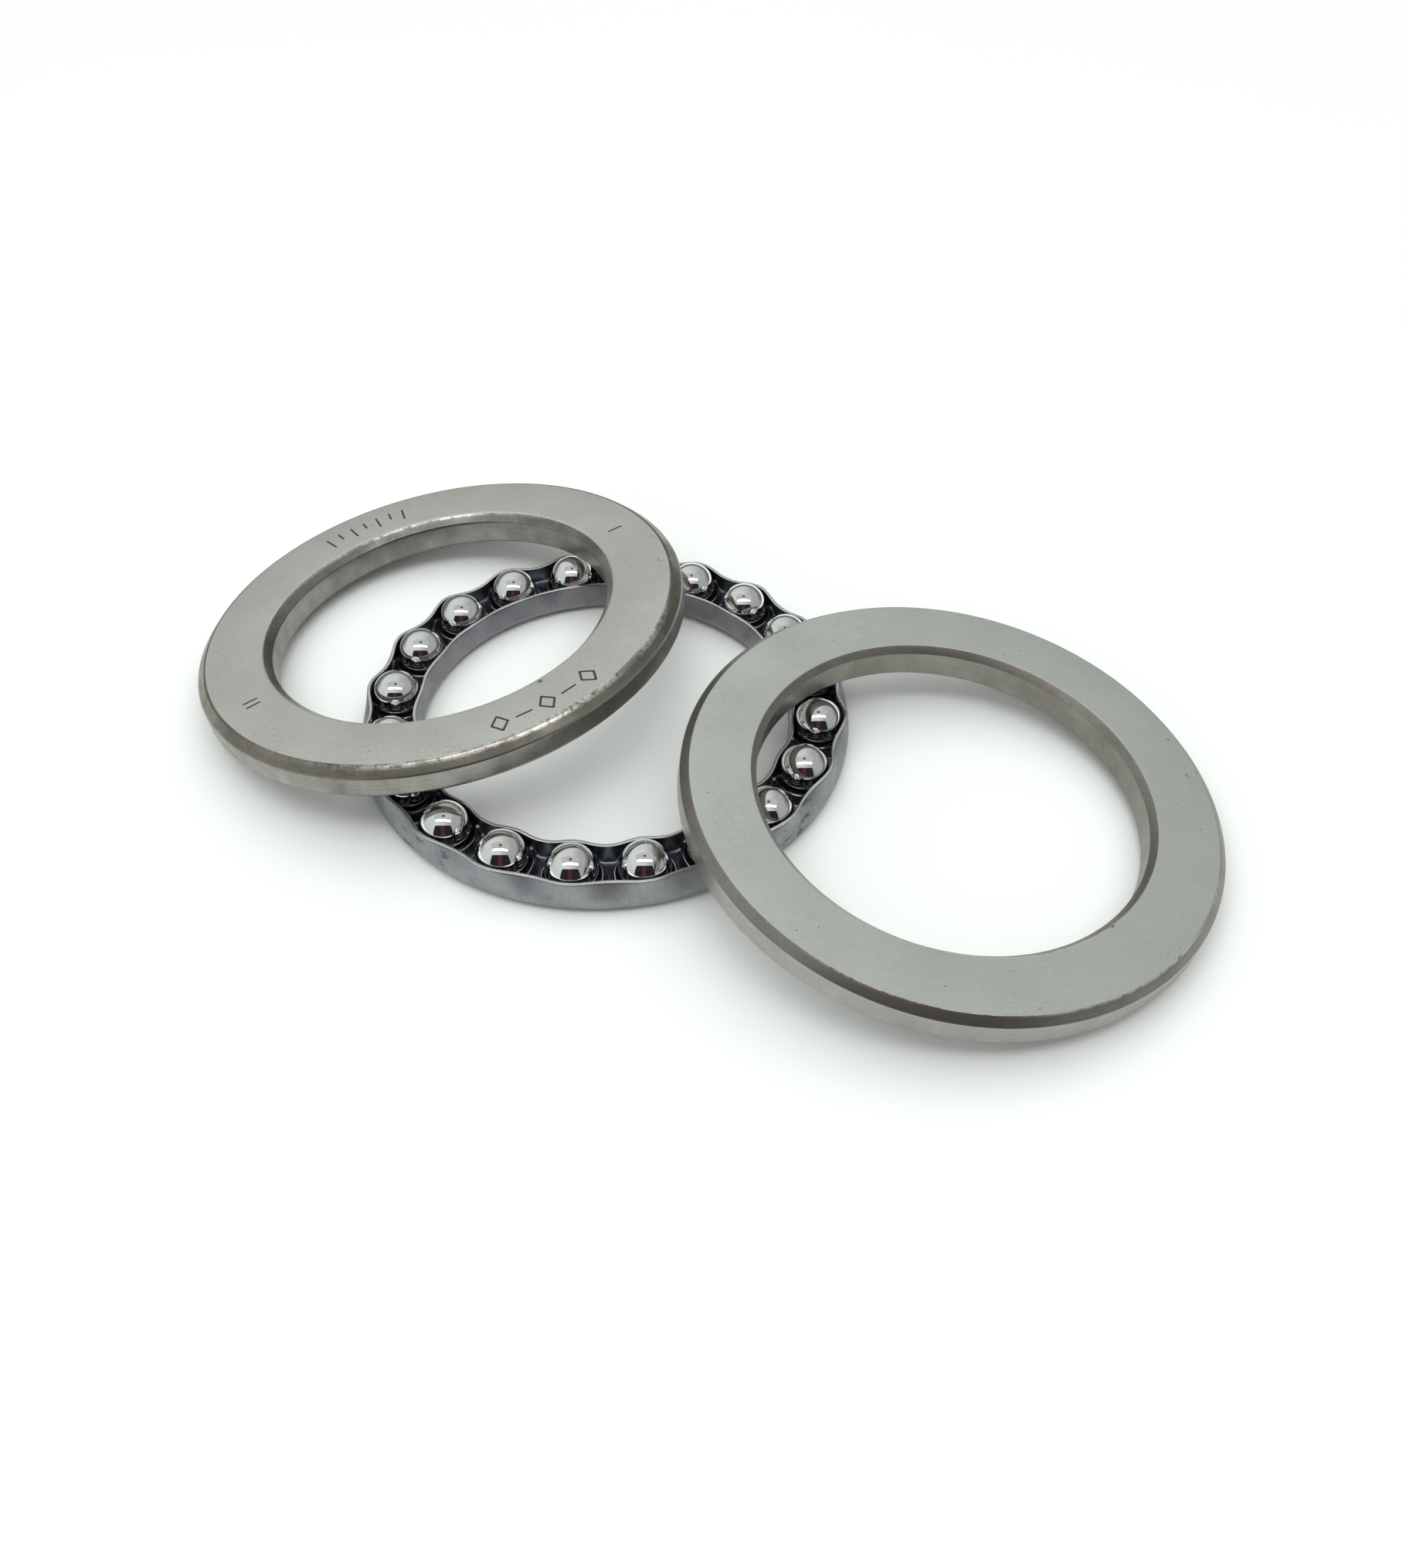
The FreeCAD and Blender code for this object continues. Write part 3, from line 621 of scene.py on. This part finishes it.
def cage_sector():
    """One ball's share of the cage, ball on +X.  Returns vertices, faces and
    the material of each face: 0 channel, 1 outside, 2 sheared edge and the
    painted highlight along the collar ridge, 3 hole side."""
    psi_o = math.atan2(WEB_OUT * math.sin(HALF), WEB_OUT * math.cos(HALF) - PITCH_R)
    psi_i = math.atan2(WEB_IN * math.sin(HALF), WEB_IN * math.cos(HALF) - PITCH_R)
    up = np.concatenate([
        np.linspace(0, psi_o, 17)[:-1],
        np.linspace(psi_o, psi_i, 17)[:-1],
        np.linspace(psi_i, math.pi, 13),
    ])
    psi = np.concatenate([up, -up[1:-1][::-1]])
    n = len(psi)
    c, s = np.cos(psi), np.sin(psi)
    far = np.full(n, 1e9)
    for rad in (WEB_OUT, WEB_IN):
        bb = PITCH_R * c
        cc = PITCH_R ** 2 - rad ** 2
        disc = bb * bb - cc
        ok = disc >= 0
        root = np.sqrt(np.where(ok, disc, 0))
        for sg in (-1, 1):
            d = -bb + sg * root
            far = np.where(ok & (d > 0.01) & (d < far), d, far)
    for sg in (-1, 1):
        # ray meets the mid-line at angle sg * HALF
        nx, ny = -math.sin(sg * HALF), math.cos(sg * HALF)
        den = c * nx + s * ny
        d = np.where(np.abs(den) > 1e-9, -(PITCH_R * nx) / np.where(np.abs(den) > 1e-9, den, 1), 1e9)
        far = np.where((d > 0.01) & (d < far), d, far)
    K = 40
    hole = 2.3
    v = np.linspace(0, 1, K + 1)
    rho = hole + (far[:, None] - hole) * v[None, :]
    X = PITCH_R + rho * c[:, None]
    Y = rho * s[:, None]
    top = web_top(rho)
    low = web_low(rho)
    verts, faces, mats = [], [], []

    def add(x, y, z):
        verts.append((x, y, z))
        return len(verts) - 1

    ti = [[add(X[i, k], Y[i, k], top[i, k]) for k in range(K + 1)] for i in range(n)]
    bi = [[add(X[i, k], Y[i, k], low[i, k]) for k in range(K + 1)] for i in range(n)]
    for i in range(n):
        j = (i + 1) % n
        for k in range(K):
            # faces along the collar's crest take the bright sheared-edge material: a painted highlight on the collar
            # ridge
            faces.append((ti[i][k], ti[i][k + 1], ti[j][k + 1], ti[j][k])); mats.append(2 if abs((rho[i, k] + rho[i, k + 1]) / 2 - 3.62) < 0.05 else 0)
            faces.append((bi[i][k], bi[j][k], bi[j][k + 1], bi[i][k + 1])); mats.append(1)
        faces.append((ti[i][0], ti[j][0], bi[j][0], bi[i][0])); mats.append(2)
    rad = np.hypot(X[:, K], Y[:, K])
    th = np.arctan2(Y[:, K], X[:, K])
    for which, on in ((0, np.abs(rad - WEB_OUT) < 1e-6), (1, np.abs(rad - WEB_IN) < 1e-6)):
        cols = {}
        wallf = outer_wall if which == 0 else inner_wall
        sgn = 1 if which == 0 else -1
        side_mat = 1 if which == 0 else 3
        for i in np.where(on)[0]:
            t = th[i]
            h0 = top[i, K]
            w = float(wave(t))
            ztop = (1.02 + 0.42 * w) if which == 0 else (0.92 + 0.28 * w)
            path = []
            # inside bend, up from the web
            for q in range(1, 6):
                g = math.pi / 2 * q / 5
                path.append((rad[i] + sgn * BEND * math.sin(g), h0 + BEND * (1 - math.cos(g)), 0))
            z0 = h0 + BEND
            for q in range(1, 15):
                z = z0 + (ztop - 0.10 - z0) * q / 14
                path.append((float(wallf(t, z, 0)), z, 0))
            # sheared rim with small broken corners
            rc = (float(wallf(t, ztop, 0)) + float(wallf(t, ztop, 1))) / 2
            hw = T / 2
            path.append((rc - sgn * (hw - 0.015), ztop - 0.045, 2))
            path.append((rc - sgn * (hw - 0.075), ztop, 2))
            path.append((rc + sgn * (hw - 0.075), ztop, 2))
            path.append((rc + sgn * (hw - 0.015), ztop - 0.045, 2))
            # outside, down to the outer bend
            zb = LOW + BEND + T
            for q in range(0, 17):
                z = (ztop - 0.10) + (zb - (ztop - 0.10)) * q / 16
                path.append((float(wallf(t, z, 1)), z, side_mat))
            for q in range(1, 9):
                g = math.pi / 2 * (1 - q / 8)
                R = BEND + T
                path.append((rad[i] + sgn * R * math.sin(g), zb - R * math.cos(g), side_mat))
            ids = [ti[i][K]]
            for (r_, z_, m_) in path[:-1]:
                ids.append(add(r_ * math.cos(t), r_ * math.sin(t), z_))
            ids.append(bi[i][K])
            cols[i] = (ids, [p[2] for p in path])
        idx = sorted(cols)
        for i in idx:
            j = (i + 1) % n
            if j not in cols:
                continue
            a_, m_ = cols[i]
            b_, _ = cols[j]
            for q in range(len(a_) - 1):
                faces.append((a_[q], a_[q + 1], b_[q + 1], b_[q])); mats.append(m_[min(q, len(m_) - 1)])
    return np.array(verts), faces, mats


sv, sf, sm = cage_sector()
allv, allf, allm = [], [], []
for k in range(COUNT):
    t = 2 * math.pi * k / COUNT
    ct, st = math.cos(t), math.sin(t)
    rv = np.stack([sv[:, 0] * ct - sv[:, 1] * st, sv[:, 0] * st + sv[:, 1] * ct, sv[:, 2]], 1)
    base = len(sv) * k
    allv.append(rv)
    allf += [tuple(i + base for i in f) for f in sf]
    allm += sm
cage = make("cage_pressed", np.vstack(allv), allf, [CAGE_CHANNEL_PAINTED_SHADE, CAGE_OUT, CAGE_EDGE_AND_RIDGE_HIGHLIGHT, CAGE_HOLE_PAINTED_SHADE], allm, CAGE)
bm = bmesh.new()
bm.from_mesh(cage.data)
bmesh.ops.remove_doubles(bm, verts=bm.verts, dist=0.000004)
bmesh.ops.dissolve_degenerate(bm, dist=0.0000005, edges=bm.edges)
bmesh.ops.recalc_face_normals(bm, faces=bm.faces)
print("cage: faces", len(bm.faces), "open edges", sum(1 for e in bm.edges if not e.is_manifold), flush=True)
bm.to_mesh(cage.data)
bm.free()
cage.data.set_sharp_from_angle(angle=math.radians(42))
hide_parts("cage")
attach(cage, "cage")


# ------------------------------------------------------------------ balls
def ball_mesh(cuts):
    """A lapped ball from a cube's grid, evenly spread over the sphere."""
    g = np.tan(np.linspace(-math.pi / 4, math.pi / 4, cuts + 1))
    verts, faces = [], []
    for axis in range(3):
        for sg in (-1, 1):
            u, v = np.meshgrid(g, g, indexing="ij")
            w = np.full_like(u, sg)
            p = np.stack([w, u, v], -1) if axis == 0 else np.stack([v, w, u], -1) if axis == 1 else np.stack([u, v, w], -1)
            p = p / np.linalg.norm(p, axis=-1, keepdims=True) * BALL_R
            b = len(verts)
            verts += [tuple(x) for x in p.reshape(-1, 3)]
            m = cuts + 1
            for i in range(cuts):
                for j in range(cuts):
                    q = (b + i * m + j, b + (i + 1) * m + j, b + (i + 1) * m + j + 1, b + i * m + j + 1)
                    faces.append(q if sg > 0 else q[::-1])
    return verts, faces


bv, bf = ball_mesh(30)
for k, node in enumerate(BALLS):
    centre = Vector(joints[node + "_roll"]["pos_m"])
    m = Matrix.Rotation(0.7 + 2.1 * k, 4, Vector((math.sin(1.3 * k), math.cos(2.7 * k), 0.6)).normalized())
    m.translation = centre
    ob = make(node + "_lapped", bv, bf, [BALL], None, m)
    b2 = bmesh.new()
    b2.from_mesh(ob.data)
    bmesh.ops.remove_doubles(b2, verts=b2.verts, dist=0.000002)
    b2.to_mesh(ob.data)
    b2.free()
    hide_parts(node)
    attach(ob, node)

# ------------------------------------------------------------------ surface and light
FLOOR = Nodes("pale_surface")
FLOOR.set("Base Color", FLOOR.mix(FLOOR.noise(6, 2.0, 0.5), (0.935, 0.95, 0.935), (0.955, 0.97, 0.955)))
FLOOR.set("Roughness", 0.7)
FLOOR.set("Specular IOR Level", 0.25)
S = 2.5
fv = [(-S, -S, 0), (S, -S, 0), (S, S, 0), (-S, S, 0)]
fm = bpy.data.meshes.new("floor")
fm.from_pydata(fv, [], [(0, 1, 2, 3)])
fm.materials.append(FLOOR.mat)
floor = bpy.data.objects.new("floor", fm)
floor.location.z = -0.00002
bpy.context.scene.collection.objects.link(floor)

world = bpy.data.worlds.new("studio")
bpy.context.scene.world = world
world.use_nodes = True
wn = world.node_tree
wn.nodes.clear()
wo = wn.nodes.new("ShaderNodeOutputWorld")
bg = wn.nodes.new("ShaderNodeBackground")
tc = wn.nodes.new("ShaderNodeTexCoord")
sx = wn.nodes.new("ShaderNodeSeparateXYZ")
wn.links.new(tc.outputs["Generated"], sx.inputs[0])


def wramp(fac, stops):
    n = wn.nodes.new("ShaderNodeValToRGB")
    els = n.color_ramp.elements
    while len(els) < len(stops):
        els.new(0.5)
    for e, (q, c) in zip(els, stops):
        e.position = q
        e.color = (c, c, c, 1) if isinstance(c, (int, float)) else (*c, 1)
    wn.links.new(fac, n.inputs["Fac"])
    return n.outputs["Color"]


def wmath(op, x, y):
    n = wn.nodes.new("ShaderNodeMath")
    n.operation = op
    wn.links.new(x, n.inputs[0])
    if isinstance(y, bpy.types.NodeSocket):
        wn.links.new(y, n.inputs[1])
    else:
        n.inputs[1].default_value = y
    return n.outputs[0]


# bright ceiling, brighter at the left, and a darker room low down at the back
sky = wramp(sx.outputs[2], [(0.0, (0.55, 0.565, 0.55)), (0.35, (0.59, 0.61, 0.595)), (0.75, (0.635, 0.655, 0.64)), (1.0, (0.66, 0.68, 0.665))])
low = wramp(sx.outputs[2], [(0.27, 1.0), (0.43, 0.0)])
rear = wramp(wmath("ADD", wmath("MULTIPLY", sx.outputs[1], 0.5), 0.5), [(0.52, 0.0), (0.74, 1.0)])
wm = wn.nodes.new("ShaderNodeMix")
wm.data_type = "RGBA"
wn.links.new(wmath("MULTIPLY", low, rear), wm.inputs[0])
side = wramp(wmath("ADD", wmath("MULTIPLY", sx.outputs[0], 0.5), 0.5), [(0.25, (1.08, 1.08, 1.08)), (0.50, (1.0, 1.0, 1.0)), (0.72, (0.65, 0.65, 0.65))])
tint = wn.nodes.new("ShaderNodeMix")
tint.data_type = "RGBA"
tint.blend_type = "MULTIPLY"
tint.inputs[0].default_value = 1.0
wn.links.new(sky, tint.inputs[6])
wn.links.new(side, tint.inputs[7])
wn.links.new(tint.outputs[2], wm.inputs[6])
wm.inputs[7].default_value = (0.17, 0.175, 0.165, 1)
wn.links.new(wm.outputs[2], bg.inputs["Color"])
bg.inputs["Strength"].default_value = 1.0
wn.links.new(bg.outputs["Background"], wo.inputs["Surface"])


def direction(az, el):
    """Azimuth 0 is the camera's side (-Y), positive to +X."""
    a_, e_ = math.radians(az), math.radians(el)
    return Vector((math.sin(a_) * math.cos(e_), -math.cos(a_) * math.cos(e_), math.sin(e_)))


def aim(ob, at):
    ob.rotation_mode = "QUATERNION"
    ob.rotation_quaternion = (at - ob.location).to_track_quat("-Z", "Y")


def area(name, location, at, width, height, power, color=(1, 1, 1)):
    l = bpy.data.lights.new(name, "AREA")
    l.shape = "RECTANGLE"
    l.size = width
    l.size_y = height
    l.energy = power
    l.color = color
    ob = bpy.data.objects.new(name, l)
    ob.location = location
    bpy.context.scene.collection.objects.link(ob)
    aim(ob, at)
    return ob


HIGH = 1.0
LAMP_W, LAMP_H, LAMP_Y = 1.36, 0.23, -0.335
lamp_at = Vector((RING.x, RING.y + LAMP_Y, HIGH))
strip_light = area("strip_light", lamp_at, lamp_at - Vector((0, 0, 1)), LAMP_W, LAMP_H, 1.75, (1.0, 1.0, 0.98))
fill = area("overhead_fill", RING + direction(184, 78) * 1.6, RING, 3.0, 2.4, 22.0, (0.98, 1.0, 0.985))
fill.visible_glossy = False


def glow(name, lo_col, hi_col, scale=3.0):
    """A card that only shows in reflections."""
    m = bpy.data.materials.new(name)
    m.use_nodes = True
    nt = m.node_tree
    nt.nodes.clear()
    o = nt.nodes.new("ShaderNodeOutputMaterial")
    em = nt.nodes.new("ShaderNodeEmission")
    t = nt.nodes.new("ShaderNodeTexCoord")
    nz = nt.nodes.new("ShaderNodeTexNoise")
    nz.inputs["Scale"].default_value = scale
    r = nt.nodes.new("ShaderNodeValToRGB")
    r.color_ramp.elements[0].color = (*lo_col, 1)
    r.color_ramp.elements[1].color = (*hi_col, 1)
    nt.links.new(t.outputs["Object"], nz.inputs["Vector"])
    nt.links.new(nz.outputs["Fac"], r.inputs["Fac"])
    nt.links.new(r.outputs["Color"], em.inputs["Color"])
    nt.links.new(em.outputs["Emission"], o.inputs["Surface"])
    return m


def flag(name, verts, faces, mat):
    me_ = bpy.data.meshes.new(name)
    me_.from_pydata(verts, [], faces)
    me_.materials.append(mat)
    ob = bpy.data.objects.new(name, me_)
    bpy.context.scene.collection.objects.link(ob)
    ob.visible_camera = False
    ob.visible_shadow = False
    ob.visible_diffuse = False
    return ob


# the dark card at the camera's side, from the surface up
D = 0.60
H = 1.16 * D
xs = [-1.0, -0.42, -0.22, 0.12, 0.30, 1.0]
cv, cf, cmi = [], [], []
for x in xs:
    cv.append((RING.x + x * 0.84 * D, RING.y - D, 0.004))
    cv.append((RING.x + x * 0.98 * D, RING.y - D, H))
for k in range(len(xs) - 1):
    cf.append((2 * k, 2 * k + 2, 2 * k + 3, 2 * k + 1))
DARK = glow("flag_dark", (0.012, 0.012, 0.016), (0.028, 0.026, 0.032))
WARM = glow("flag_warm", (0.060, 0.018, 0.026), (0.120, 0.036, 0.050))
card = flag("dark_flag", cv, cf, DARK)
card.data.materials.append(WARM)
card.data.polygons.foreach_set("material_index", [0, 0, 1, 0, 0])


def round_rect(cx, cy, w, h, r, z, n=8):
    pts = []
    for sx_, sy_, a0 in ((1, 1, 0), (-1, 1, 90), (-1, -1, 180), (1, -1, 270)):
        for k in range(n + 1):
            t = math.radians(a0 + 90 * k / n)
            pts.append((cx + sx_ * (w / 2 - r) + r * math.cos(t), cy + sy_ * (h / 2 - r) + r * math.sin(t), z))
    return pts


# the lamp's housing: a dark frame that rounds the strip's corners, a pale
# plate beside it and a small dark knob
hole = round_rect(lamp_at.x, lamp_at.y, LAMP_W - 0.01, LAMP_H - 0.01, 0.07, HIGH - 0.004)
edge = round_rect(lamp_at.x, lamp_at.y, LAMP_W + 0.05, LAMP_H + 0.05, 0.06, HIGH - 0.004)
n_ = len(hole)
flag("lamp_frame", hole + edge, [(k, (k + 1) % n_, n_ + (k + 1) % n_, n_ + k) for k in range(n_)], glow("lamp_frame", (0.10, 0.10, 0.10), (0.16, 0.16, 0.16)))
plate = round_rect(RING.x, RING.y + 0.055, 1.40, 0.47, 0.08, HIGH + 0.002)
flag("lamp_plate", plate, [tuple(range(len(plate)))], glow("lamp_plate", (0.50, 0.515, 0.505), (0.54, 0.555, 0.545)))
knob = [(RING.x + 0.105 * math.cos(t), RING.y + 0.02 + 0.085 * math.sin(t), HIGH - 0.01) for t in np.linspace(0, 2 * math.pi, 25)[:-1]]
flag("lamp_knob", knob, [tuple(range(24))], glow("lamp_knob", (0.05, 0.03, 0.03), (0.09, 0.05, 0.05)))

# ------------------------------------------------------------------ camera
F_PX, EL, ROLL, DIST, TX, TY = 1894.02, 0.8080545, -0.0038396, 189.417, 12.621, -9.843
back = Vector((0, -math.cos(EL), math.sin(EL)))
right = Vector((1, 0, 0))
upv = Vector((0, math.sin(EL), math.cos(EL)))
r2 = right * math.cos(ROLL) + upv * math.sin(ROLL)
u2 = -right * math.sin(ROLL) + upv * math.cos(ROLL)
pos = RING + (back * DIST + r2 * TX + u2 * TY) * MM
cam_data = bpy.data.cameras.new("camera")
cam_data.sensor_width = 36.0
cam_data.lens = F_PX * 36.0 / 2030.0
cam_data.clip_start = 0.01
cam_data.clip_end = 20
cam = bpy.data.objects.new("camera", cam_data)
mt = Matrix((r2, u2, back)).transposed().to_4x4()
mt.translation = pos
cam.matrix_world = mt
bpy.context.scene.collection.objects.link(cam)
bpy.context.scene.camera = cam

bpy.context.scene.view_settings.view_transform = "Standard"
bpy.context.scene.view_settings.look = "None"
bpy.context.scene.view_settings.exposure = 0.0
bpy.context.scene.view_settings.gamma = 1.0
